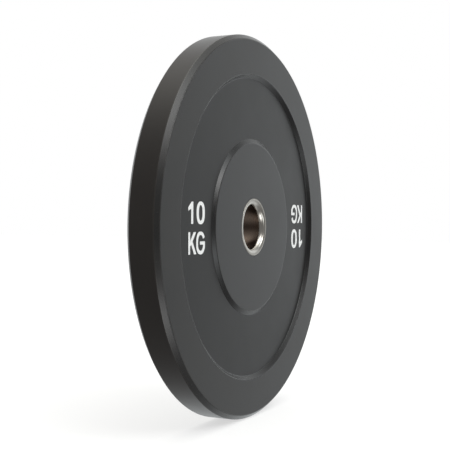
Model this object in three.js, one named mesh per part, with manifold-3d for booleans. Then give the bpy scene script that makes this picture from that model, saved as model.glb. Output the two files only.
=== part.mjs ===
// Bumper plate, 10 kg: a moulded rubber disc round a flared stainless sleeve and a buried anchor disc.
// Units are millimetres. The bore's axis lies along Y, the front face looks towards -Y, and +Z is up.
// The origin is the centre of the bore, halfway through the plate's thickness.

import * as THREE from "three";
import { mergeVertices } from "three/addons/utils/BufferGeometryUtils.js";
import Module from "manifold-3d";

const wasm = await Module();
wasm.setup();

// Rubber body: overall size and rim
const plateDiameter = 450;
const rimThickness = 38;
const rimChamfer = 5;
const rimEdgeRound = 2.5;

// Rubber body: the sunk web between the rim and the hub
const recessFootDiameter = 350;
const recessDepth = 4.1;
const recessEdgeRound = 3;
const recessFootFillet = 2;

// Rubber body: the raised hub
const hubFootDiameter = 208.2;
const hubThickness = 35.6;
const hubWallRun = 5.2;
const hubEdgeRound = 4;

// Stainless sleeve that lines the bore, with a flared lip at each end
const boreDiameter = 50.5;
const sleeveLength = 36;
const sleeveWall = 5;
const lipDiameter = 67.5;
const lipEdge = 2.5;
const mouthRound = 6.75;

// Anchor disc buried in the hub, and its ring of holes
const anchorDiameter = 176;
const anchorThickness = 5;
const anchorHoleDiameter = 24;
const anchorHoleCount = 10;

// Ring welds between the sleeve and the anchor disc
const weldLeg = 4;
const weldCrown = 0.5;

// Clearance between neighbours, and how far a joined rubber plug reaches into the rubber on each side
const fitGap = 0.3;
const plugOverrun = 1;

// Smoothness: facets round each turned form, and steps along each arc of a profile
const bodyFacets = 96;
const sleeveFacets = 64;
const anchorFacets = 60;
const holeFacets = 20;
const edgeSteps = 3;
const filletSteps = 2;
const mouthSteps = 7;
const crownSteps = 3;

// Sizes worked out from the ones above
const plateRadius = plateDiameter / 2;
const rimHalf = rimThickness / 2;
const webHalf = rimHalf - recessDepth;
const recessFootRadius = recessFootDiameter / 2;
const hubHalf = hubThickness / 2;
const hubFootRadius = hubFootDiameter / 2;
const boreRadius = boreDiameter / 2;
const sleeveHalf = sleeveLength / 2;
const sleeveRadius = boreRadius + sleeveWall;
const lipRadius = lipDiameter / 2;
const underLip = lipRadius - sleeveRadius;
const anchorRadius = anchorDiameter / 2;
const anchorHalf = anchorThickness / 2;
const anchorHoleRadius = anchorHoleDiameter / 2;
const holeRingRadius = (sleeveRadius + fitGap + weldLeg + anchorRadius) / 2;
const slotHalf = anchorHalf + fitGap;
const quarterTurn = Math.PI / 2;
const fullTurn = 2 * Math.PI;

// A point of a turned profile: how far from the bore's axis, and how far along it.
const at = (radius, along) => new THREE.Vector2(radius, along);

// The arc that rounds a profile's corner, touching the straight sides that run to its two neighbours.
function roundedCorner(before, corner, after, radius, steps) {
  const towardsBefore = before.clone().sub(corner).normalize();
  const towardsAfter = after.clone().sub(corner).normalize();
  const halfAngle = Math.acos(towardsBefore.dot(towardsAfter)) / 2;
  const inwards = towardsBefore.clone().add(towardsAfter).normalize();
  const centre = corner.clone().addScaledVector(inwards, radius / Math.sin(halfAngle));
  const reach = radius / Math.tan(halfAngle);
  const start = corner.clone().addScaledVector(towardsBefore, reach).sub(centre);
  const end = corner.clone().addScaledVector(towardsAfter, reach).sub(centre);
  const turn = Math.atan2(start.cross(end), start.dot(end));
  const arc = [];
  for (let i = 0; i <= steps; i++) {
    arc.push(start.clone().rotateAround(at(0, 0), (turn * i) / steps).add(centre));
  }
  return arc;
}

// The front half of a profile that is alike on both faces of the plate, from its rear half.
const mirrored = (rearHalf) => rearHalf.map((p) => at(p.x, -p.y)).reverse();

// A closed profile turned round the bore's axis, which is Y.
function turned(profile, facets) {
  return new THREE.LatheGeometry([...profile, profile[0].clone()], facets);
}

// The corners of a regular outline that stands for a circle.
function circle(radius, facets, centre = at(0, 0)) {
  const corners = [];
  for (let i = 0; i < facets; i++) {
    const angle = (i / facets) * fullTurn;
    corners.push(at(Math.cos(angle), Math.sin(angle)).multiplyScalar(radius).add(centre));
  }
  return corners;
}

// An outline in the plane of the plate's face, thickened to both sides of the plate's middle plane.
function plateCut(outline, halfThickness) {
  const settings = { depth: 2 * halfThickness, bevelEnabled: false };
  const slab = new THREE.ExtrudeGeometry(outline, settings);
  return slab.translate(0, 0, -halfThickness).rotateX(quarterTurn);
}

// A geometry as a solid that can be joined and cut, and a solid as a geometry again.
function solid(geometry) {
  const bare = geometry.clone();
  bare.deleteAttribute("normal");
  bare.deleteAttribute("uv");
  const merged = mergeVertices(bare);
  const triVerts = new Uint32Array(merged.index.array);
  const vertProperties = merged.attributes.position.array;
  return new wasm.Manifold(new wasm.Mesh({ numProp: 3, vertProperties, triVerts }));
}

function geometryOf(joined) {
  const mesh = joined.getMesh();
  const geometry = new THREE.BufferGeometry();
  geometry.setAttribute("position", new THREE.BufferAttribute(mesh.vertProperties, mesh.numProp));
  geometry.setIndex(new THREE.BufferAttribute(mesh.triVerts, 1));
  geometry.computeVertexNormals();
  return geometry;
}

// The centres of the anchor's holes, which are also the centres of the rubber that runs through them. Their
// ring lies midway between the weld and the disc's edge.
const holeCentres = circle(holeRingRadius, anchorHoleCount);

// Sleeve: from the tube's outside, out under the lip, over the lip's flat and round the mouth into the bore
function sleeveRearHalf() {
  const lipFoot = sleeveHalf - lipEdge;
  const mouthStart = boreRadius + mouthRound;
  const mouth = [];
  for (let i = 0; i <= mouthSteps; i++) {
    const angle = (i / mouthSteps) * quarterTurn;
    const radius = mouthStart - mouthRound * Math.sin(angle);
    mouth.push(at(radius, sleeveHalf - mouthRound + mouthRound * Math.cos(angle)));
  }
  return [
    at(sleeveRadius, lipFoot - underLip),
    at(lipRadius, lipFoot),
    at(lipRadius, sleeveHalf),
    ...mouth,
  ];
}

function boreSleeve() {
  const rearHalf = sleeveRearHalf();
  return turned([...rearHalf, ...mirrored(rearHalf)], sleeveFacets);
}

// Anchor disc: a flat ring cut from plate, with holes that the rubber runs through
function anchorDisc() {
  const outline = new THREE.Shape(circle(anchorRadius, anchorFacets));
  const centreHole = circle(sleeveRadius + fitGap, anchorFacets);
  outline.holes.push(new THREE.Path(centreHole.reverse()));
  for (const centre of holeCentres) {
    const hole = circle(anchorHoleRadius, holeFacets, centre);
    outline.holes.push(new THREE.Path(hole.reverse()));
  }
  return plateCut(outline, anchorHalf);
}

// Weld bead: a fillet in the corner between the sleeve and the disc, with a slightly crowned face
function weldBead(side) {
  const inner = sleeveRadius + fitGap;
  const onDisc = at(inner + weldLeg, slotHalf);
  const onSleeve = at(inner, slotHalf + weldLeg);
  const outwards = at(1, 1).normalize();
  const bead = [at(inner, slotHalf)];
  for (let i = 0; i <= crownSteps; i++) {
    const share = i / crownSteps;
    const bulge = weldCrown * Math.sin(share * Math.PI);
    bead.push(onDisc.clone().lerp(onSleeve, share).addScaledVector(outwards, bulge));
  }
  const rearBead = turned(bead, anchorFacets);
  return side > 0 ? rearBead : rearBead.rotateX(Math.PI);
}

// Rubber body: across the rear face, from the middle of the tread to the edge of the bore
function bodyRearFace() {
  const treadEdge = at(plateRadius, rimHalf - rimChamfer);
  const rimEdge = at(plateRadius - rimChamfer, rimHalf);
  const recessEdge = at(recessFootRadius + recessDepth, rimHalf);
  const recessFoot = at(recessFootRadius, webHalf);
  const hubFoot = at(hubFootRadius, webHalf);
  const hubEdge = at(hubFootRadius - hubWallRun, hubHalf);
  const sleeveEdge = at(lipRadius + fitGap, hubHalf);
  return [
    treadEdge,
    ...roundedCorner(treadEdge, rimEdge, recessEdge, rimEdgeRound, edgeSteps),
    ...roundedCorner(rimEdge, recessEdge, recessFoot, recessEdgeRound, filletSteps),
    ...roundedCorner(recessEdge, recessFoot, hubFoot, recessFootFillet, filletSteps),
    hubFoot,
    ...roundedCorner(hubFoot, hubEdge, sleeveEdge, hubEdgeRound, edgeSteps),
    sleeveEdge,
  ];
}

// Rubber body: down its inside, round the lip and the tube of the sleeve, the weld and the anchor disc
function bodyRearInside() {
  const lipSeat = sleeveHalf - lipEdge - fitGap * Math.tan(quarterTurn / 4);
  const tubeSeat = sleeveRadius + fitGap;
  const weldReach = weldLeg + Math.SQRT2 * (weldCrown + fitGap);
  return [
    at(lipRadius + fitGap, lipSeat),
    at(tubeSeat, lipSeat - underLip),
    at(tubeSeat, slotHalf + weldReach),
    at(tubeSeat + weldReach, slotHalf),
    at(anchorRadius + fitGap, slotHalf),
  ];
}

function rubberBody() {
  const rearHalf = [...bodyRearFace(), ...bodyRearInside()];
  let body = solid(turned([...rearHalf, ...mirrored(rearHalf)], bodyFacets));
  for (const centre of holeCentres) {
    const plug = new THREE.Shape(circle(anchorHoleRadius - fitGap, holeFacets, centre));
    body = body.add(solid(plateCut(plug, slotHalf + plugOverrun)));
  }
  return geometryOf(body);
}

// Finishes: black rubber, brushed stainless, bare plate steel and weld metal
const finish = (color, roughness, metalness) =>
  new THREE.MeshStandardMaterial({ color, roughness, metalness });
const rubberFinish = finish(0x2b2b2b, 0.6, 0);
const stainlessFinish = finish(0xb9b6ae, 0.25, 1);
const plateSteelFinish = finish(0x6f7072, 0.5, 1);
const weldFinish = finish(0x8b8a86, 0.55, 1);

function piece(name, geometry, material) {
  const mesh = new THREE.Mesh(geometry, material);
  mesh.name = name;
  return mesh;
}

// Assembly: the steel core first, then the rubber moulded round it
const core = new THREE.Group();
core.add(piece("bore_sleeve", boreSleeve(), stainlessFinish));
core.add(piece("anchor_disc", anchorDisc(), plateSteelFinish));
core.add(piece("front_weld_bead", weldBead(-1), weldFinish));
core.add(piece("rear_weld_bead", weldBead(1), weldFinish));

const bumperPlate = new THREE.Group();
bumperPlate.add(core);
bumperPlate.add(piece("rubber_body", rubberBody(), rubberFinish));

export default bumperPlate;
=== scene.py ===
# %% [markdown]
# # A 10 kg bumper plate
#
# A bumper plate is the weight that slides on a barbell and may be dropped with it. It is one thick disc of
# moulded rubber, cast round a stainless sleeve that lines the hole for the bar. Nothing on it moves.
#
# This lesson dresses the plate in Blender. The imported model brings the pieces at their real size: the rubber,
# the sleeve, and the perforated steel disc that is buried in the hub with its two ring welds. The rubber and
# the sleeve are turned again here with finer edges. The hidden steel keeps its shape and gets a real finish.

import math

import bmesh
import bpy
from mathutils import Matrix, Vector


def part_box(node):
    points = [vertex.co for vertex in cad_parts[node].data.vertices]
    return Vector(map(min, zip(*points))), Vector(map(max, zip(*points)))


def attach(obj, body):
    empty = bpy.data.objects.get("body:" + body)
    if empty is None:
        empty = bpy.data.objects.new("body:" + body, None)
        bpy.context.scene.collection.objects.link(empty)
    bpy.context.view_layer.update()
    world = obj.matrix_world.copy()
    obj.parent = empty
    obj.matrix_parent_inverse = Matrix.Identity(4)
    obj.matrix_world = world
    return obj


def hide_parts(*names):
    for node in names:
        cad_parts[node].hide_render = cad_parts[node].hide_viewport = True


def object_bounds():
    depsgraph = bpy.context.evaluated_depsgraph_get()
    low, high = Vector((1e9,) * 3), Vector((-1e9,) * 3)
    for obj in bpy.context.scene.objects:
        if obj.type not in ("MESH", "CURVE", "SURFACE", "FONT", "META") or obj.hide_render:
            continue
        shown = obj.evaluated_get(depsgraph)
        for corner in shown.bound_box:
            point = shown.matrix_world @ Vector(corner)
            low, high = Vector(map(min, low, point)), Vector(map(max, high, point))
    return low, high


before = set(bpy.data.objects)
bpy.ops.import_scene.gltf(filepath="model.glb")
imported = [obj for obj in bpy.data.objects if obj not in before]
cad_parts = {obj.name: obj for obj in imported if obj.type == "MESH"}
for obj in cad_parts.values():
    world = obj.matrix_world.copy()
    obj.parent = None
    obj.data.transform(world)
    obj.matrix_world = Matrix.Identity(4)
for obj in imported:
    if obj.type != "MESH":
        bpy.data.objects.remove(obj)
cad_low, cad_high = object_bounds()
print("pieces:", sorted(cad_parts))
print("box:", [round(v, 4) for v in cad_low], [round(v, 4) for v in cad_high])

# %% [markdown]
# ## Sizes
#
# Blender works in metres, and the plate was measured in millimetres, so every size is written in millimetres
# times one unit. The bore's axis lies along Y, the front face looks towards -Y and +Z is up. The outer sizes
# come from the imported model, so the new surfaces can't grow past it.

# %% Sizes of the plate
mm = 0.001

plate_radius = cad_high.x
rim_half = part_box("rubber_body")[1].y
sleeve_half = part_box("bore_sleeve")[1].y
lip_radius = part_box("bore_sleeve")[1].x
anchor_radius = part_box("anchor_disc")[1].x
anchor_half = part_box("anchor_disc")[1].y

rim_chamfer = 5 * mm
recess_foot_radius = 175 * mm
recess_depth = 4.1 * mm
hub_foot_radius = 104.1 * mm
hub_half = 17.8 * mm
hub_wall_run = 5.2 * mm
bore_radius = 25.25 * mm
sleeve_wall = 5 * mm
lip_edge = 2.5 * mm
mouth_round = 6.75 * mm
anchor_hole_radius = 12 * mm
anchor_hole_count = 10
weld_leg = 4 * mm
weld_crown = 0.5 * mm
fit_gap = 0.3 * mm
hole_ring_radius = (bore_radius + sleeve_wall + fit_gap + weld_leg + anchor_radius) / 2

web_half = rim_half - recess_depth
print("rubber:", round(2 * plate_radius, 4), "m across,", round(2 * rim_half, 4), "m thick")
print("web plane:", round(web_half, 4), "m from the middle")

# %% [markdown]
# ## The camera
#
# The camera comes before the surfaces, because it decides which edges have to be fine. The photograph looks
# at the plate from its left, level with the bore, with a long lens. The bore sits a little right of the
# picture's middle, so the camera is slid sideways instead of turned. The lens follows from its length in
# picture pixels.

# %% Place the camera
picture_side = 450
focal_pixels = 963.0
sensor_width = 36.0
camera_azimuth = math.radians(-63.16)
camera_elevation = math.radians(0.49)
camera_roll = math.radians(0.31)
camera_distance = 1148.5 * mm
bore_right_of_middle = 18.65 * mm
bore_below_middle = 2.32 * mm


def out_from_plate(azimuth, elevation):
    """The direction from the plate's middle out to a place: azimuth 0 is the front, turning towards +X."""
    level = math.cos(elevation)
    return Vector((math.sin(azimuth) * level, -math.cos(azimuth) * level, math.sin(elevation)))


def camera_axes(azimuth, elevation, roll):
    """The camera's right, up and backward directions."""
    backward = out_from_plate(azimuth, elevation)
    level_right = Vector((0, 0, 1)).cross(backward).normalized()
    level_up = backward.cross(level_right)
    right = math.cos(roll) * level_right + math.sin(roll) * level_up
    up = math.cos(roll) * level_up - math.sin(roll) * level_right
    return right, up, backward


right, up, backward = camera_axes(camera_azimuth, camera_elevation, camera_roll)
camera_data = bpy.data.cameras.new("photo_camera")
camera_data.sensor_width = sensor_width
camera_data.lens = focal_pixels / picture_side * sensor_width
camera = bpy.data.objects.new("photo_camera", camera_data)
bpy.context.scene.collection.objects.link(camera)
place = camera_distance * backward - bore_right_of_middle * right + bore_below_middle * up
camera.matrix_world = Matrix.Translation(place) @ Matrix((right, up, backward)).transposed().to_4x4()
bpy.context.scene.camera = camera
bpy.context.scene.view_settings.view_transform = "Standard"
print("lens:", round(camera_data.lens, 2), "mm, camera at", [round(v, 3) for v in place])

# %% [markdown]
# ## Building materials from nodes
#
# A material here is a small tree of shader nodes. Writing one by hand means adding a node, setting its
# options and linking its inputs, over and over, so one helper does all three. A second helper starts a node
# group: a reusable effect with named inputs and outputs, such as grain or wear, that several materials
# place with their own values.


# %% Helpers for nodes and groups
def node(tree, kind, inputs=None, **options):
    """Add a node, set its options, and link or set each input that is named."""
    made = tree.nodes.new(kind)
    for name, value in options.items():
        setattr(made, name, value)
    for name, value in (inputs or {}).items():
        if isinstance(value, bpy.types.NodeSocket):
            tree.links.new(value, made.inputs[name])
        else:
            made.inputs[name].default_value = value
    return made


def math_node(tree, operation, *values, clamp=False):
    """The result of one sum on numbers or sockets."""
    inputs = dict(enumerate(values))
    return node(tree, "ShaderNodeMath", inputs, operation=operation, use_clamp=clamp).outputs[0]


def between(tree, value, low, high):
    """1 where a value lies between two limits, else 0."""
    above = math_node(tree, "GREATER_THAN", value, low)
    below = math_node(tree, "LESS_THAN", value, high)
    return math_node(tree, "MULTIPLY", above, below)


def blend_values(tree, share, low, high):
    """A number between low and high, by a share from 0 to 1."""
    inputs = {"Value": share, "To Min": low, "To Max": high}
    return node(tree, "ShaderNodeMapRange", inputs).outputs["Result"]


def blend_colours(tree, share, first, second):
    """A colour between two others, by a share from 0 to 1."""
    made = node(tree, "ShaderNodeMix", data_type="RGBA")
    for socket, value in (("Factor_Float", share), ("A_Color", first), ("B_Color", second)):
        target = next(s for s in made.inputs if s.identifier == socket)
        if isinstance(value, bpy.types.NodeSocket):
            tree.links.new(value, target)
        else:
            target.default_value = value
    return next(s for s in made.outputs if s.identifier == "Result_Color")


def start_group(name, inputs, outputs):
    """A new node group: inputs are {name: number}, outputs a list of names, all plain numbers."""
    tree = bpy.data.node_groups.new(name, "ShaderNodeTree")
    for socket_name, value in inputs.items():
        socket = tree.interface.new_socket(socket_name, in_out="INPUT", socket_type="NodeSocketFloat")
        socket.default_value = value
    for socket_name in outputs:
        tree.interface.new_socket(socket_name, in_out="OUTPUT", socket_type="NodeSocketFloat")
    given = tree.nodes.new("NodeGroupInput").outputs
    wanted = tree.nodes.new("NodeGroupOutput").inputs
    return tree, given, wanted


def use_group(tree, group, **inputs):
    """Place a group in a material; an input's name is given with underscores for spaces."""
    placed = node(tree, "ShaderNodeGroup", node_tree=group)
    for name, value in inputs.items():
        target = placed.inputs[name.replace("_", " ").title()]
        if isinstance(value, bpy.types.NodeSocket):
            tree.links.new(value, target)
        else:
            target.default_value = value
    return placed.outputs


def start_material(name):
    """A new material, with its tree and its Principled shader already linked to the surface."""
    material = bpy.data.materials.new(name)
    material.use_nodes = True
    tree = material.node_tree
    tree.nodes.clear()
    shader = tree.nodes.new("ShaderNodeBsdfPrincipled")
    surface = tree.nodes.new("ShaderNodeOutputMaterial")
    tree.links.new(shader.outputs["BSDF"], surface.inputs["Surface"])
    return material, tree, shader


def plain_colour(red, green, blue):
    """A colour given as it looks on a screen, from 0 to 255, turned into the light values of shaders."""
    shares = (red / 255, green / 255, blue / 255)
    return tuple(((s + 0.055) / 1.055) ** 2.4 if s > 0.04045 else s / 12.92 for s in shares) + (1.0,)


# %% [markdown]
# ## Where a point lies on a turned piece
#
# The rubber, the sleeve and the disc are all turned round one axis, so two numbers say where a point lies on
# them: how far it is from the axis, and how far along it. Wear on an edge, lathe marks, the rougher web and
# its painted shade all follow these. One group reads them from the object's own coordinates, so the finish
# stays on the piece.

# %% Group: turned coordinates
turned_place, given, wanted = start_group("Turned place", {}, ["Radius", "Along", "Angle"])
coordinates = node(turned_place, "ShaderNodeTexCoord").outputs["Object"]
axes = node(turned_place, "ShaderNodeSeparateXYZ", {"Vector": coordinates}).outputs
squares = [math_node(turned_place, "MULTIPLY", axes[name], axes[name]) for name in ("X", "Z")]
radius = math_node(turned_place, "SQRT", math_node(turned_place, "ADD", *squares))
turned_place.links.new(radius, wanted["Radius"])
turned_place.links.new(math_node(turned_place, "ABSOLUTE", axes["Y"]), wanted["Along"])
turned_place.links.new(math_node(turned_place, "ARCTAN2", axes["Z"], axes["X"]), wanted["Angle"])
print("group:", turned_place.name)

# %% [markdown]
# ## Grain, clouds, edge bands and scratches
#
# Four small effects make a plain colour look like a material. Grain is the tiny relief that a mould or a
# rolled plate leaves. Clouds are wide, faint changes that keep a large surface from looking printed. An
# edge band marks the ring where handling rubs a turned edge first. Scratches are thin broken lines. Each
# group takes real sizes in metres, so one group serves rubber and steel alike.

# %% Group: grain
grain, given, wanted = start_group("Grain", {"Size": 0.5 * mm, "Detail": 2}, ["Height"])
coordinates = node(grain, "ShaderNodeTexCoord").outputs["Object"]
scale = math_node(grain, "DIVIDE", 1, given["Size"])
noise = node(grain, "ShaderNodeTexNoise", {"Vector": coordinates, "Scale": scale, "Detail": given["Detail"]})
grain.links.new(noise.outputs["Fac"], wanted["Height"])
print("group:", grain.name)

# %% Group: clouds
cloud_detail = 4.0
clouds, given, wanted = start_group("Clouds", {"Size": 40 * mm, "Contrast": 2}, ["Share"])
coordinates = node(clouds, "ShaderNodeTexCoord").outputs["Object"]
scale = math_node(clouds, "DIVIDE", 1, given["Size"])
noise = node(clouds, "ShaderNodeTexNoise", {"Vector": coordinates, "Scale": scale, "Detail": cloud_detail})
centred = math_node(clouds, "SUBTRACT", noise.outputs["Fac"], 0.5)
share = math_node(clouds, "MULTIPLY_ADD", centred, given["Contrast"], 0.5, clamp=True)
clouds.links.new(share, wanted["Share"])
print("group:", clouds.name)

# %% Group: edge band
band_inputs = {"Radius": 0, "Along": 0, "Ring Radius": 0.1, "Ring Along": 0.01, "Width": 2 * mm}
edge_band, given, wanted = start_group("Edge band", band_inputs, ["Mask"])
across = math_node(edge_band, "SUBTRACT", given["Radius"], given["Ring Radius"])
along = math_node(edge_band, "SUBTRACT", given["Along"], given["Ring Along"])
squares = [math_node(edge_band, "MULTIPLY", value, value) for value in (across, along)]
distance = math_node(edge_band, "SQRT", math_node(edge_band, "ADD", *squares))
faded = {"Value": distance, "From Min": 0.0, "From Max": given["Width"], "To Min": 1.0, "To Max": 0.0}
mask = node(edge_band, "ShaderNodeMapRange", faded, interpolation_type="SMOOTHSTEP")
edge_band.links.new(mask.outputs["Result"], wanted["Mask"])
print("group:", edge_band.name)

# %% Group: scratches
bare_threshold, threshold_drop, full_scratch = 0.78, 0.25, 0.85
scratch_stretch = (1.0, 14.0, 14.0)
scratch_turns = ((0.3, 0.5, 0.2), (1.1, -0.4, 2.0))
scratches, given, wanted = start_group("Scratches", {"Size": 20 * mm, "Cover": 0.2}, ["Mask"])
coordinates = node(scratches, "ShaderNodeTexCoord").outputs["Object"]
scale = math_node(scratches, "DIVIDE", 1, given["Size"])
threshold = math_node(scratches, "MULTIPLY_ADD", given["Cover"], -threshold_drop, bare_threshold)
lines = []
for turn in scratch_turns:
    stretch = {"Vector": coordinates, "Rotation": turn, "Scale": scratch_stretch}
    stretched = node(scratches, "ShaderNodeMapping", stretch).outputs["Vector"]
    noise = node(scratches, "ShaderNodeTexNoise", {"Vector": stretched, "Scale": scale, "Detail": 1.0})
    past = {"Value": noise.outputs["Fac"], "From Min": threshold, "From Max": full_scratch}
    lines.append(node(scratches, "ShaderNodeMapRange", past).outputs["Result"])
scratches.links.new(math_node(scratches, "MAXIMUM", *lines), wanted["Mask"])
print("group:", scratches.name)

# %% [markdown]
# ## Turning a profile
#
# A lathe form is a closed outline swept round an axis. Blender has a Screw modifier and a Spin tool for
# that, but building the rings by hand keeps full control: each corner of the outline gets its own rounding
# radius, and every quad runs true. The corners are given as radius, distance along the axis, and rounding.
# Points of an arc come from a formula, so the list holds only real corners. A Weighted Normal modifier
# keeps the flats flat and lets the small rounds carry the highlight.

# %% Helpers for turned pieces
round_steps_per_quarter = 10
facets_round = 288


def rounded_outline(corners):
    """Points of a closed outline whose corners are (radius, along, rounding)."""
    points = []
    for i, (x, y, rounding) in enumerate(corners):
        corner = Vector((x, y))
        before = Vector(corners[i - 1][:2]) - corner
        after = Vector(corners[(i + 1) % len(corners)][:2]) - corner
        if not rounding:
            points.append(corner)
            continue
        half = before.angle(after) / 2
        reach = rounding / math.tan(half)
        middle = corner + (before.normalized() + after.normalized()).normalized() * rounding / math.sin(half)
        start = corner + before.normalized() * reach - middle
        end = corner + after.normalized() * reach - middle
        turn = math.atan2(start.cross(end), start.dot(end))
        steps = max(2, math.ceil(abs(turn) / (math.pi / 2) * round_steps_per_quarter))
        for step in range(steps + 1):
            angle = turn * step / steps
            swung = Matrix.Rotation(angle, 2) @ start
            points.append(middle + swung)
    return points


def both_faces(rear_corners):
    """A full outline from its rear half. The front half is the same, turned over along the axis."""
    return rear_corners + [(x, -y, rounding) for x, y, rounding in reversed(rear_corners)]


def turned_mesh(name, outline, facets=facets_round):
    """A closed mesh made by sweeping an outline round the Y axis."""
    shape = bmesh.new()
    rings = []
    for i in range(facets):
        angle = 2 * math.pi * i / facets
        rings.append([shape.verts.new((p.x * math.cos(angle), p.y, p.x * math.sin(angle))) for p in outline])
    for i, ring in enumerate(rings):
        following = rings[(i + 1) % facets]
        for j in range(len(outline)):
            k = (j + 1) % len(outline)
            shape.faces.new((ring[j], ring[k], following[k], following[j]))
    bmesh.ops.recalc_face_normals(shape, faces=shape.faces)
    mesh = bpy.data.meshes.new(name)
    shape.to_mesh(mesh)
    shape.free()
    return mesh


def place_mesh(mesh, material, sharp_angle=math.radians(35)):
    """An object for a mesh, smooth except at its sharp corners."""
    mesh.shade_smooth()
    mesh.set_sharp_from_angle(angle=sharp_angle)
    mesh.materials.clear()
    mesh.materials.append(material)
    piece = bpy.data.objects.new(mesh.name, mesh)
    bpy.context.scene.collection.objects.link(piece)
    flats = piece.modifiers.new("flat faces", "WEIGHTED_NORMAL")
    flats.keep_sharp = True
    return piece


# %% [markdown]
# ## Black rubber
#
# The rubber comes out of the mould nearly black, with a faint sheen and a fine sand-like grain. Its colour
# is so dark that most of what the eye reads is reflected light, so roughness matters more than colour here.
# The rim and the hub are a little smoother than the sunk web, and the bevels are smoother still. The hub,
# which other plates rub against, is a little greyer. The sunk web, its walls and the hub's wall carry a
# painted shade that darkens them towards black. The tread keeps a trace of brown dust from the floor.
# Edges are rubbed slightly lighter, and wide faint clouds and a few hairline scuffs keep the faces from
# looking printed.

# %% Material: black rubber
rubber_dark = plain_colour(29, 29, 29)
rubber_pale = plain_colour(37, 36, 34)
rubbed_edge = plain_colour(50, 49, 47)
rubbed_hub = plain_colour(50, 51, 52)
tread_dust = plain_colour(50, 41, 34)
rubber_roughness = 0.33
web_extra_roughness = 0.02
bevel_extra_roughness = -0.08
# Share of its own colour that the sunk web keeps under its painted shade.
recess_shaded_colour_share = 0.3
hub_rubbed_share = 0.5
tread_dust_share = 0.35
tread_edge_along = rim_half - rim_chamfer
rim_edge_radius = plate_radius - rim_chamfer
hub_edge_radius = hub_foot_radius - hub_wall_run
recess_edge_radius = recess_foot_radius + recess_depth
recess_edge_round = 1.2 * mm
tread_skin = 0.5 * mm
beyond_plate = 1
handled_edges = [
    (plate_radius, tread_edge_along, 1.6 * mm),
    (rim_edge_radius, rim_half, 1.6 * mm),
    (hub_edge_radius, hub_half, 1.2 * mm),
]
cloud_share, patch_share = 0.6, 0.4
rubbed_strength, scuff_strength = 0.6, 0.5
cloud_roughness, scuff_roughness = 0.03, 0.06
peel_depth, grain_depth = 0.03 * mm, 0.012 * mm


def black_rubber():
    material, tree, shader = start_material("black_rubber")
    place_on = use_group(tree, turned_place)
    cloud = use_group(tree, clouds, size=45 * mm, contrast=2.4)["Share"]
    patch = use_group(tree, clouds, size=9 * mm, contrast=1.6)["Share"]
    fine = use_group(tree, grain, size=0.55 * mm, detail=2)["Height"]
    peel = use_group(tree, grain, size=3.2 * mm, detail=3)["Height"]
    scuff = use_group(tree, scratches, size=16 * mm, cover=0.25)["Mask"]

    rubbed = 0.0
    for ring_radius, ring_along, width in handled_edges:
        band = use_group(tree, edge_band, radius=place_on["Radius"], along=place_on["Along"],
                         ring_radius=ring_radius, ring_along=ring_along, width=width)["Mask"]
        rubbed = math_node(tree, "MAXIMUM", rubbed, band)
    rubbed = math_node(tree, "MULTIPLY", rubbed, patch)

    clouded = math_node(tree, "MULTIPLY", cloud, cloud_share)
    mixed = math_node(tree, "MULTIPLY_ADD", patch, patch_share, clouded)
    body_colour = blend_colours(tree, mixed, rubber_dark, rubber_pale)
    on_web = between(tree, place_on["Radius"], hub_foot_radius, recess_foot_radius)
    on_hub_wall = between(tree, place_on["Radius"], hub_edge_radius, hub_foot_radius)
    on_recess_wall = between(tree, place_on["Radius"], recess_foot_radius,
                             recess_edge_radius + recess_edge_round)
    on_chamfer = math_node(tree, "MULTIPLY", between(tree, place_on["Radius"], rim_edge_radius, beyond_plate),
                           between(tree, place_on["Along"], tread_edge_along, beyond_plate))
    on_bevel = math_node(tree, "ADD", on_chamfer, math_node(tree, "ADD", on_hub_wall, on_recess_wall))
    on_hub = between(tree, place_on["Radius"], 0, hub_edge_radius)
    # Painted shade: the sunk web, its walls and the hub's wall are darkened towards black.
    recess_shade_mask = between(tree, place_on["Radius"], hub_edge_radius, recess_edge_radius)
    body_colour = blend_colours(tree, math_node(tree, "MULTIPLY", recess_shade_mask, 1 - recess_shaded_colour_share),
                                body_colour, (0, 0, 0, 1))
    body_colour = blend_colours(tree, math_node(tree, "MULTIPLY", on_hub, hub_rubbed_share),
                                body_colour, rubbed_hub)
    on_tread = between(tree, place_on["Radius"], plate_radius - tread_skin, beyond_plate)
    body_colour = blend_colours(tree, math_node(tree, "MULTIPLY", on_tread, tread_dust_share),
                                body_colour, tread_dust)
    worn = math_node(tree, "MAXIMUM", math_node(tree, "MULTIPLY", rubbed, rubbed_strength),
                     math_node(tree, "MULTIPLY", scuff, scuff_strength))
    colour = blend_colours(tree, worn, body_colour, rubbed_edge)
    tree.links.new(colour, shader.inputs["Base Color"])

    roughness = blend_values(tree, cloud, rubber_roughness - cloud_roughness,
                             rubber_roughness + cloud_roughness)
    roughness = math_node(tree, "MULTIPLY_ADD", on_web, web_extra_roughness, roughness)
    roughness = math_node(tree, "MULTIPLY_ADD", on_bevel, bevel_extra_roughness, roughness)
    roughness = math_node(tree, "MULTIPLY_ADD", scuff, scuff_roughness, roughness)
    tree.links.new(roughness, shader.inputs["Roughness"])

    large = node(tree, "ShaderNodeBump", {"Height": peel, "Distance": peel_depth, "Strength": 0.5})
    small = node(tree, "ShaderNodeBump", {"Height": fine, "Distance": grain_depth, "Strength": 0.6,
                                          "Normal": large.outputs["Normal"]})
    tree.links.new(small.outputs["Normal"], shader.inputs["Normal"])
    shader.inputs["IOR"].default_value = 1.5
    shader.inputs["Specular IOR Level"].default_value = 0.5
    return material


rubber = black_rubber()
print("material:", rubber.name)

# %% [markdown]
# ## The rubber body
#
# The body is one moulding: a tread with chamfered edges, a flat rim, a sunk web and a raised hub, the same on
# both faces. Inside it follows the sleeve, the welds and the anchor disc, and ten plugs of rubber run through
# the disc's holes. That is what keeps the steel from turning or working loose when the plate is dropped. The
# outline is turned in one go, and the plugs are joined to it with a Boolean.

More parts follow.
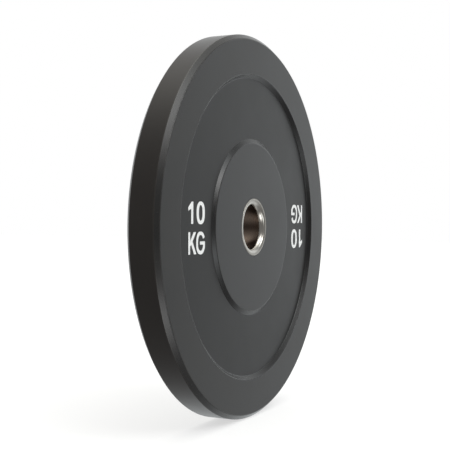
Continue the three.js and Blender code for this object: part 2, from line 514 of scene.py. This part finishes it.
# %% Turn the rubber body
slot_half = anchor_half + fit_gap
tube_seat = bore_radius + sleeve_wall + fit_gap
under_lip = lip_radius - bore_radius - sleeve_wall
lip_seat = sleeve_half - lip_edge - fit_gap * math.tan(math.pi / 8)
weld_reach = weld_leg + math.sqrt(2) * (weld_crown + fit_gap)
tread_edge_round = 1.2 * mm
rim_edge_round = 2.5 * mm
recess_foot_fillet = 2 * mm
hub_foot_fillet = 0.4 * mm
hub_edge_round = 4 * mm
sleeve_edge_round = 0.25 * mm
plug_overrun = 1 * mm
plug_facets = 40

rubber_corners = [
    (plate_radius, tread_edge_along, tread_edge_round),
    (rim_edge_radius, rim_half, rim_edge_round),
    (recess_edge_radius, rim_half, recess_edge_round),
    (recess_foot_radius, web_half, recess_foot_fillet),
    (hub_foot_radius, web_half, hub_foot_fillet),
    (hub_edge_radius, hub_half, hub_edge_round),
    (lip_radius + fit_gap, hub_half, sleeve_edge_round),
    (lip_radius + fit_gap, lip_seat, 0),
    (tube_seat, lip_seat - under_lip, 0),
    (tube_seat, slot_half + weld_reach, 0),
    (tube_seat + weld_reach, slot_half, 0),
    (anchor_radius + fit_gap, slot_half, 0),
]
turned_rubber = turned_mesh("turned_rubber", rounded_outline(both_faces(rubber_corners)))
print("turned rubber:", len(turned_rubber.polygons), "faces")


# %% Join the rubber plugs that fill the disc's holes
def rubber_plugs():
    """The ten short cylinders of rubber, in one mesh, a little longer than the slot that the disc lies in."""
    shape = bmesh.new()
    reach = slot_half + plug_overrun
    plug_radius = anchor_hole_radius - fit_gap
    for i in range(anchor_hole_count):
        angle = 2 * math.pi * i / anchor_hole_count
        centre = Vector((math.cos(angle), 0, math.sin(angle))) * hole_ring_radius
        stand = Matrix.Translation(centre) @ Matrix.Rotation(math.pi / 2, 4, "X")
        bmesh.ops.create_cone(shape, cap_ends=True, segments=plug_facets, radius1=plug_radius,
                              radius2=plug_radius, depth=2 * reach, matrix=stand)
    mesh = bpy.data.meshes.new("rubber_plugs")
    shape.to_mesh(mesh)
    shape.free()
    return mesh


def joined_mesh(name, first_mesh, second_mesh):
    """One closed mesh from two that overlap. The two helper objects are gone again afterwards."""
    helpers = [bpy.data.objects.new("helper", mesh) for mesh in (first_mesh, second_mesh)]
    for helper in helpers:
        bpy.context.scene.collection.objects.link(helper)
    joining = helpers[0].modifiers.new("join", "BOOLEAN")
    joining.operation = "UNION"
    joining.solver = "MANIFOLD"
    joining.object = helpers[1]
    bpy.context.view_layer.update()
    evaluated = helpers[0].evaluated_get(bpy.context.evaluated_depsgraph_get())
    mesh = bpy.data.meshes.new_from_object(evaluated)
    mesh.name = name
    for helper in helpers:
        bpy.data.meshes.remove(helper.data)
    return mesh


body_mesh = joined_mesh("rubber_body_moulded", turned_rubber, rubber_plugs())
rubber_body = place_mesh(body_mesh, rubber)
print("rubber body with plugs:", len(body_mesh.polygons), "faces")

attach(rubber_body, "root")
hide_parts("rubber_body")

# %% [markdown]
# ## Stainless steel, turned on a lathe
#
# The sleeve is turned and lightly polished. The tool leaves fine rings, so light smears across them: along
# the bore and outwards over the lip. The Principled shader does this with its anisotropic setting and a
# tangent that runs round the axis. A little real relief from the rings and faint scratches from the bar
# break up the shine. The smear is slight. The lip is satin, and the mouth is polished by the bar.
#
# The photo shows broad dark and light stripes along a brownish bore. They are most likely reflections of
# things in the room. Here seven painted bands that follow the angle round the axis stand in for them, so
# they stay where they are when the light moves.

# %% Material: turned stainless steel
steel_colour = plain_colour(196, 193, 187)
steel_dull = plain_colour(172, 167, 159)
# The light and dark colours of the painted reflection bands in the bore.
bore_light_band = plain_colour(147, 131, 119)
bore_dark_band = plain_colour(84, 72, 64)
bore_bands = 7
lip_roughness = 0.36
mouth_roughness = 0.18
bore_roughness = 0.26
bore_full = sleeve_half - mouth_round
bore_starts = bore_full + 1.2 * mm
rings_per_metre = 2600.0
rings_roughness, bar_scratch_roughness = 0.04, 0.08
rings_depth = 0.004 * mm
smear, smear_turn = 0.25, 0.25


def stainless_steel():
    material, tree, shader = start_material("stainless_sleeve")
    place_on = use_group(tree, turned_place)
    cloud = use_group(tree, clouds, size=12 * mm, contrast=2)["Share"]
    scuff = use_group(tree, scratches, size=9 * mm, cover=0.4)["Mask"]
    travel = math_node(tree, "ADD", place_on["Radius"], place_on["Along"])
    rings_at = math_node(tree, "MULTIPLY", travel, rings_per_metre)
    rings = node(tree, "ShaderNodeTexNoise", {"W": rings_at, "Scale": 1.0, "Detail": 2.0},
                 noise_dimensions="1D").outputs["Fac"]
    in_bore = node(tree, "ShaderNodeMapRange", {"Value": place_on["Along"], "From Min": bore_starts,
                                                "From Max": bore_full}).outputs["Result"]
    turned_in = between(tree, place_on["Radius"], 0, bore_radius + mouth_round)
    colour = blend_colours(tree, cloud, steel_colour, steel_dull)
    # Painted reflection: the bore is darker and browner than the lip, in seven light and dark bands round the
    # axis.
    turns = math_node(tree, "MULTIPLY", place_on["Angle"], bore_bands)
    band = math_node(tree, "MULTIPLY_ADD", math_node(tree, "COSINE", turns), 0.5, 0.5)
    banded_bore = blend_colours(tree, band, bore_light_band, bore_dark_band)
    tree.links.new(blend_colours(tree, in_bore, colour, banded_bore), shader.inputs["Base Color"])
    roughness = blend_values(tree, turned_in, lip_roughness, mouth_roughness)
    roughness = math_node(tree, "MULTIPLY_ADD", in_bore, bore_roughness - mouth_roughness, roughness)
    ringed = blend_values(tree, rings, -rings_roughness, rings_roughness)
    roughness = math_node(tree, "ADD", roughness, ringed)
    roughness = math_node(tree, "MULTIPLY_ADD", scuff, bar_scratch_roughness, roughness)
    tree.links.new(roughness, shader.inputs["Roughness"])
    relief = node(tree, "ShaderNodeBump", {"Height": rings, "Distance": rings_depth, "Strength": 0.5})
    tree.links.new(relief.outputs["Normal"], shader.inputs["Normal"])
    tangent = node(tree, "ShaderNodeTangent", direction_type="RADIAL", axis="Y")
    tree.links.new(tangent.outputs["Tangent"], shader.inputs["Tangent"])
    shader.inputs["Metallic"].default_value = 1.0
    shader.inputs["Anisotropic"].default_value = smear
    shader.inputs["Anisotropic Rotation"].default_value = smear_turn
    return material


stainless = stainless_steel()
print("material:", stainless.name)

# %% [markdown]
# ## The bore sleeve
#
# The sleeve is a tube with a flared lip at each end. The lip's flat stands a hair proud of the hub, and a
# quarter round leads the bar into the bore. It is the same kind of turned outline as the rubber. It gets as
# many facets round the axis as a far larger piece would, because the bright crescent on its mouth is the
# sharpest highlight in the picture.

# %% Turn the bore sleeve
lip_edge_round = 0.35 * mm
sleeve_facets = 192

sleeve_corners = [
    (bore_radius + sleeve_wall, sleeve_half - lip_edge - under_lip, 0),
    (lip_radius, sleeve_half - lip_edge, 0),
    (lip_radius, sleeve_half, lip_edge_round),
    (bore_radius, sleeve_half, mouth_round),
]
sleeve_mesh = turned_mesh("bore_sleeve_turned", rounded_outline(both_faces(sleeve_corners)), sleeve_facets)
bore_sleeve = place_mesh(sleeve_mesh, stainless)
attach(bore_sleeve, "root")
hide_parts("bore_sleeve")
print("bore sleeve:", len(sleeve_mesh.polygons), "faces")

# %% [markdown]
# ## The hidden steel
#
# The anchor disc and its welds never show on a whole plate, but they are there in a cut-away. The disc is cut
# from rolled plate, so it has a blue-grey scale with a little rust. A weld bead cools in ripples, with straw
# and blue tints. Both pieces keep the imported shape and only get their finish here.

# %% Materials: plate steel and weld metal
mill_scale_blue = plain_colour(84, 88, 94)
mill_scale_grey = plain_colour(112, 113, 115)
rust = plain_colour(112, 74, 50)
rust_share = 0.35
weld_straw = plain_colour(142, 136, 124)
weld_blue = plain_colour(104, 108, 124)
ripples_round, ripple_bow = 90.0, 260.0
ripple_depth = 0.25 * mm


def plate_steel():
    material, tree, shader = start_material("anchor_steel")
    cloud = use_group(tree, clouds, size=14 * mm, contrast=3)["Share"]
    speck = use_group(tree, clouds, size=1.5 * mm, contrast=5)["Share"]
    fine = use_group(tree, grain, size=0.4 * mm, detail=3)["Height"]
    scuff = use_group(tree, scratches, size=12 * mm, cover=0.5)["Mask"]
    scale_colour = blend_colours(tree, cloud, mill_scale_blue, mill_scale_grey)
    rusted = math_node(tree, "MULTIPLY", math_node(tree, "MULTIPLY", speck, cloud), rust_share)
    colour = blend_colours(tree, rusted, scale_colour, rust)
    tree.links.new(colour, shader.inputs["Base Color"])
    tree.links.new(blend_values(tree, rusted, 0.95, 0.3), shader.inputs["Metallic"])
    roughness = math_node(tree, "MULTIPLY_ADD", scuff, -0.1, blend_values(tree, cloud, 0.42, 0.6))
    tree.links.new(roughness, shader.inputs["Roughness"])
    relief = node(tree, "ShaderNodeBump", {"Height": fine, "Distance": 0.02 * mm, "Strength": 0.6})
    tree.links.new(relief.outputs["Normal"], shader.inputs["Normal"])
    return material


def weld_metal():
    material, tree, shader = start_material("weld_metal")
    place_on = use_group(tree, turned_place)
    cloud = use_group(tree, clouds, size=6 * mm, contrast=2)["Share"]
    fine = use_group(tree, grain, size=0.3 * mm, detail=2)["Height"]
    bow = math_node(tree, "MULTIPLY", place_on["Along"], ripple_bow)
    sweep = math_node(tree, "MULTIPLY_ADD", place_on["Angle"], ripples_round, bow)
    ripple = math_node(tree, "MULTIPLY_ADD", math_node(tree, "SINE", sweep), 0.5, 0.5)
    height = math_node(tree, "MULTIPLY_ADD", fine, 0.2, ripple)
    colour = blend_colours(tree, cloud, weld_straw, weld_blue)
    tree.links.new(colour, shader.inputs["Base Color"])
    tree.links.new(blend_values(tree, cloud, 0.35, 0.55), shader.inputs["Roughness"])
    relief = node(tree, "ShaderNodeBump", {"Height": height, "Distance": ripple_depth, "Strength": 0.8})
    tree.links.new(relief.outputs["Normal"], shader.inputs["Normal"])
    shader.inputs["Metallic"].default_value = 1.0
    return material


def dress(node_name, material):
    """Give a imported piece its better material."""
    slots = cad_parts[node_name].material_slots
    for slot in slots:
        slot.material = material
    print("dressed:", node_name, "with", material.name)


dress("anchor_disc", plate_steel())
weld_finish = weld_metal()
dress("front_weld_bead", weld_finish)
dress("rear_weld_bead", weld_finish)

# %% [markdown]
# ## The weight marks
#
# Each face shows the weight twice, in bold plain letters: once upright and once turned round the bore. They
# are printed in thick white ink that stands a hair above the rubber. A text object would bring a font's own
# letter shapes, so the outlines are drawn here instead: straight strokes as corner points and bowls as
# flattened ovals, all in one 2D curve that Blender fills and thickens.

# %% Letter outlines
cap_height = 23.4 * mm
overshoot = 0.5 * mm
nought_width, nought_stroke = 18.5 * mm, 5.1 * mm
g_width, g_stroke = 19.5 * mm, 3.9 * mm
bowl_cap = 3.8 * mm
bowl_squareness = 2.35
bowl_half_height = cap_height / 2 + overshoot


def oval(centre, half_width, half_height, first=0.0, last=360.0, steps=48):
    """Points of a flattened oval from one angle to another, anticlockwise, in degrees."""
    points = []
    for i in range(steps + 1):
        angle = math.radians(first + (last - first) * i / steps)
        x, y = math.cos(angle), math.sin(angle)
        share_x = math.copysign(abs(x) ** (2 / bowl_squareness), x)
        share_y = math.copysign(abs(y) ** (2 / bowl_squareness), y)
        points.append((centre[0] + half_width * share_x, centre[1] + half_height * share_y))
    return points


def figure_one():
    """A stem with a slanted flag."""
    width, stem_left, top_left = 10.7 * mm, 6.3 * mm, 7.4 * mm
    flag_top, flag_bottom, flag_joins = 17.4 * mm, 13.7 * mm, 16.0 * mm
    return [[
        (stem_left, 0), (width, 0), (width, cap_height), (top_left, cap_height),
        (0, flag_top), (0, flag_bottom), (stem_left, flag_joins),
    ]]


def figure_nought():
    """An outer and an inner oval."""
    centre = (nought_width / 2, cap_height / 2)
    outer = oval(centre, nought_width / 2, bowl_half_height)[:-1]
    inner = oval(centre, nought_width / 2 - nought_stroke, bowl_half_height - bowl_cap)[:-1]
    return [outer, inner]


def letter_k():
    """A stem with an arm and a leg that meet it at mid-height."""
    stem, width = 3.7 * mm, 17.4 * mm
    arm_left, arm_right, leg_left = 11.5 * mm, 16.7 * mm, 12.2 * mm
    crotch = (9.0 * mm, 0.58 * cap_height)
    armpit = (6.1 * mm, 0.445 * cap_height)
    arm_meets_stem, stem_clears_arm = 0.59 * cap_height, 0.355 * cap_height
    return [[
        (0, 0), (stem, 0), (stem, stem_clears_arm), armpit, (leg_left, 0), (width, 0), crotch,
        (arm_right, cap_height), (arm_left, cap_height), (stem, arm_meets_stem), (stem, cap_height),
        (0, cap_height),
    ]]


def letter_g():
    """An open oval with a bar that turns into its right side."""
    centre = (g_width / 2, cap_height / 2)
    inner_half_width = g_width / 2 - g_stroke
    bar_top, bar_bottom, bar_left = 0.57 * cap_height, 0.42 * cap_height, 8.4 * mm
    side_bottom = 0.27 * cap_height
    outer = oval(centre, g_width / 2, bowl_half_height, 26, 318, 44)
    inner = oval(centre, inner_half_width, bowl_half_height - bowl_cap, 326, 27, 36)
    right_side = [(g_width, side_bottom), (g_width, bar_top), (bar_left, bar_top), (bar_left, bar_bottom)]
    right_inner = [(centre[0] + inner_half_width, bar_bottom)]
    return [outer + right_side + right_inner + inner]


print("letters:", cap_height, "m tall")

# %% [markdown]
# ## White ink
#
# Screen ink on rubber is thick and slightly soft at the edge, with a satin skin. It is nearly white, with a
# trace of the rubber showing through where the coat is thinner.

# %% Material: white ink
ink_white = plain_colour(246, 247, 246)
ink_thin = plain_colour(236, 237, 235)


def white_ink():
    material, tree, shader = start_material("mark_ink")
    cloud = use_group(tree, clouds, size=5 * mm, contrast=2)["Share"]
    fine = use_group(tree, grain, size=0.35 * mm, detail=2)["Height"]
    colour = blend_colours(tree, cloud, ink_white, ink_thin)
    tree.links.new(colour, shader.inputs["Base Color"])
    tree.links.new(blend_values(tree, cloud, 0.42, 0.55), shader.inputs["Roughness"])
    relief = node(tree, "ShaderNodeBump", {"Height": fine, "Distance": 0.02 * mm, "Strength": 0.4})
    tree.links.new(relief.outputs["Normal"], shader.inputs["Normal"])
    return material


ink = white_ink()
print("material:", ink.name)

# %% [markdown]
# ## Printing the marks
#
# Each mark is the weight in two lines, given a thickness of a quarter of a millimetre and laid on the sunk
# web. A picture on the rubber would be simpler, but a real print has a thickness and an edge, and stays
# sharp near to. There are two marks on each face, and the one on the right is turned half round the bore.

# %% Print the four marks
mark_radius = 137.5 * mm
line_gap = 8.7 * mm
print_height = 0.25 * mm
print_edge = 0.08 * mm
upper_foot = line_gap / 2
lower_foot = -line_gap / 2 - cap_height
letters_from_left = [
    (figure_one, -18.4 * mm, upper_foot),
    (figure_nought, -0.3 * mm, upper_foot),
    (letter_k, -17.9 * mm, lower_foot),
    (letter_g, -0.8 * mm, lower_foot),
]


def outline_curve(name, loops_at):
    """A filled, thickened 2D curve from closed loops of points that are already in place."""
    curve = bpy.data.curves.new(name, "CURVE")
    curve.dimensions = "2D"
    curve.fill_mode = "BOTH"
    curve.extrude = print_height / 2 - print_edge
    curve.bevel_depth = print_edge
    curve.bevel_resolution = 1
    curve.offset = -print_edge
    for loop in loops_at:
        spline = curve.splines.new("POLY")
        spline.points.add(len(loop) - 1)
        for point, (x, y) in zip(spline.points, loop):
            point.co = (x, y, 0, 1)
        spline.use_cyclic_u = True
    return curve


def mark_mesh(name):
    """The weight in two lines, centred on its own origin, lying in the XY plane."""
    loops_at = []
    for draw, left, foot in letters_from_left:
        loops_at += [[(x + left, y + foot) for x, y in loop] for loop in draw()]
    curve = bpy.data.objects.new(name + "_outline", outline_curve(name + "_outline", loops_at))
    bpy.context.scene.collection.objects.link(curve)
    bpy.context.view_layer.update()
    evaluated = curve.evaluated_get(bpy.context.evaluated_depsgraph_get())
    mesh = bpy.data.meshes.new_from_object(evaluated)
    bpy.data.objects.remove(curve)
    mesh.name = name
    return mesh


def print_mark(name, face, side):
    """A mark on the front (face -1) or rear (face 1) web, left (side -1) or right (side 1) of the bore."""
    mesh = mark_mesh(name)
    stand = Matrix.Rotation(math.pi / 2, 4, "X")
    slide = Matrix.Translation((-mark_radius, -web_half - print_height / 2, 0))
    about_bore = Matrix.Rotation(math.pi if side > 0 else 0, 4, "Y")
    to_face = Matrix.Rotation(math.pi if face > 0 else 0, 4, "Z")
    mesh.transform(to_face @ about_bore @ slide @ stand)
    mesh.materials.clear()
    mesh.materials.append(ink)
    piece = bpy.data.objects.new(name, mesh)
    bpy.context.scene.collection.objects.link(piece)
    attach(piece, "root")
    print("printed:", name, len(mesh.polygons), "faces")


for face, face_name in ((-1, "front"), (1, "rear")):
    for side, side_name in ((-1, "left"), (1, "right")):
        print_mark(f"{face_name}_{side_name}_mark", face, side)

# %% [markdown]
# ## The floor
#
# The plate stands on its tread on a pale floor that runs out of sight. It glows a little of its own, so it
# comes out white with a soft shadow under the plate, and needs no extra light for that. The plate itself
# doesn't see the floor, or its lower half would be lit from below like a cup on a light table.

# %% Floor
floor_glow = 0.62
floor_diffuse = plain_colour(170, 170, 170)
floor_cloud = plain_colour(172, 172, 171)
floor_reach = 8.0
floor_roughness = 0.9
floor_squares = 8


def pale_floor():
    material, tree, shader = start_material("pale_floor")
    cloud = use_group(tree, clouds, size=300 * mm, contrast=1)["Share"]
    tint = blend_colours(tree, cloud, floor_diffuse, floor_cloud)
    tree.links.new(tint, shader.inputs["Base Color"])
    shader.inputs["Roughness"].default_value = floor_roughness
    shader.inputs["Specular IOR Level"].default_value = 0.0
    shader.inputs["Emission Color"].default_value = (1, 1, 1, 1)
    shader.inputs["Emission Strength"].default_value = floor_glow
    return material


floor_shape = bmesh.new()
bmesh.ops.create_grid(floor_shape, x_segments=floor_squares, y_segments=floor_squares, size=floor_reach)
floor_mesh = bpy.data.meshes.new("floor")
floor_shape.to_mesh(floor_mesh)
floor_shape.free()
floor = bpy.data.objects.new("floor", floor_mesh)
bpy.context.scene.collection.objects.link(floor)
floor.location.z = cad_low.z
floor.data.materials.append(pale_floor())
floor.visible_glossy = False
floor.visible_diffuse = False
floor.visible_shadow = False
print("floor at", round(cad_low.z, 4), "m")

# %% [markdown]
# ## The studio
#
# Black rubber is drawn by what it mirrors, so the light is a studio painted round the plate in the world,
# and not a few lamps. Each soft light is a round glow in one direction that fades outwards. A large
# sharpness makes it small like a lamp, and a small one makes it wide like a lit wall. This way was chosen
# because every glow can be placed where an edge or a face mirrors it: two rows of lamps above and below the
# front draw the bevels and the sleeve's mouth, the right side lights the flat faces, and the left stays
# dim, so the tread is dark. All of them together light a front face at the level where a colour comes out
# as it is written. The lights stand at steps of five degrees and come in four sizes, so that the plan can
# be read and changed by hand.
#
# To the camera, and through anything clear, the world is plain white. In glossy surfaces the same backdrop
# shows as a wide pale glow where it stands, behind the plate. It isn't white all round, because that turns
# the dark side of the tread grey and flattens the highlights on the sleeve.

# %% Group: one soft light in the surroundings
light_inputs = {"Right": 0, "Back": 1, "Up": 0, "Sharpness": 30}
soft_light, given, wanted = start_group("Soft light", light_inputs, ["Share"])
seen = node(soft_light, "ShaderNodeTexCoord").outputs["Generated"]
direction = {"X": given["Right"], "Y": given["Back"], "Z": given["Up"]}
towards = node(soft_light, "ShaderNodeCombineXYZ", direction).outputs[0]
closeness = node(soft_light, "ShaderNodeVectorMath", {0: seen, 1: towards}, operation="DOT_PRODUCT")
falling = math_node(soft_light, "MULTIPLY", math_node(soft_light, "SUBTRACT", closeness.outputs["Value"], 1),
                    given["Sharpness"])
soft_light.links.new(math_node(soft_light, "EXPONENT", falling), wanted["Share"])
print("group:", soft_light.name)

# %% World: the studio that the plate reflects
neutral, cool, warm = (1, 1, 1, 1), (0.93, 0.98, 1, 1), (1, 0.99, 0.93, 1)
lamp, panel, screen, wide_wall = 120, 40, 10, 5
# Each light is its name, azimuth, elevation, size as one of the four above, strength and colour.
studio_lights = [
    ("upper row, over the front", -25, 45, panel, 3.5, neutral),
    ("upper row, far end", -10, 60, panel, 2.5, neutral),
    ("upper row, near lamp", 15, 25, lamp, 8, neutral),
    ("upper row, last lamp", 30, 30, lamp, 2.5, cool),
    ("lower row, under the front", -30, -40, panel, 3.5, neutral),
    ("lower row, near lamp", 10, -15, lamp, 3, cool),
    ("lower row, middle lamp", 5, -30, lamp, 2, cool),
    ("lower row, left", -45, -50, panel, 1, neutral),
    ("right side, level", 80, 0, panel, 0.75, cool),
    ("right side, upper end", 65, 20, panel, 0.7, cool),
    ("right side, lower end", 65, -25, panel, 0.5, cool),
    ("right screen, high", 105, 40, screen, 0.5, neutral),
    ("right screen, low", 105, -50, screen, 0.75, cool),
    ("backdrop", 115, 0, wide_wall, 0.75, cool),
    ("behind", 180, 15, screen, 1, neutral),
    ("overhead", 0, 90, screen, 2.5, warm),
    ("front wall", 0, 60, screen, 0.75, cool),
]
wall_strength = 0.25

world = bpy.data.worlds.new("studio")
bpy.context.scene.world = world
world.use_nodes = True
tree = world.node_tree
tree.nodes.clear()
surroundings = node(tree, "ShaderNodeBackground", {"Color": neutral, "Strength": wall_strength}).outputs[0]
for name, azimuth, elevation, sharpness, strength, colour in studio_lights:
    way = out_from_plate(math.radians(azimuth), math.radians(elevation))
    share = use_group(tree, soft_light, right=way.x, back=way.y, up=way.z, sharpness=sharpness)["Share"]
    brightness = math_node(tree, "MULTIPLY", share, strength)
    glow = node(tree, "ShaderNodeBackground", {"Color": colour, "Strength": brightness})
    surroundings = node(tree, "ShaderNodeAddShader", {0: surroundings, 1: glow.outputs[0]}).outputs[0]
path = node(tree, "ShaderNodeLightPath").outputs
white = node(tree, "ShaderNodeBackground", {"Color": neutral, "Strength": 1.0})
straight_seen = math_node(tree, "MAXIMUM", path["Is Camera Ray"], path["Is Transmission Ray"])
mix = node(tree, "ShaderNodeMixShader", {0: straight_seen, 1: surroundings, 2: white.outputs[0]})
node(tree, "ShaderNodeOutputWorld", {"Surface": mix.outputs[0]})
print("world:", len(studio_lights), "soft lights")
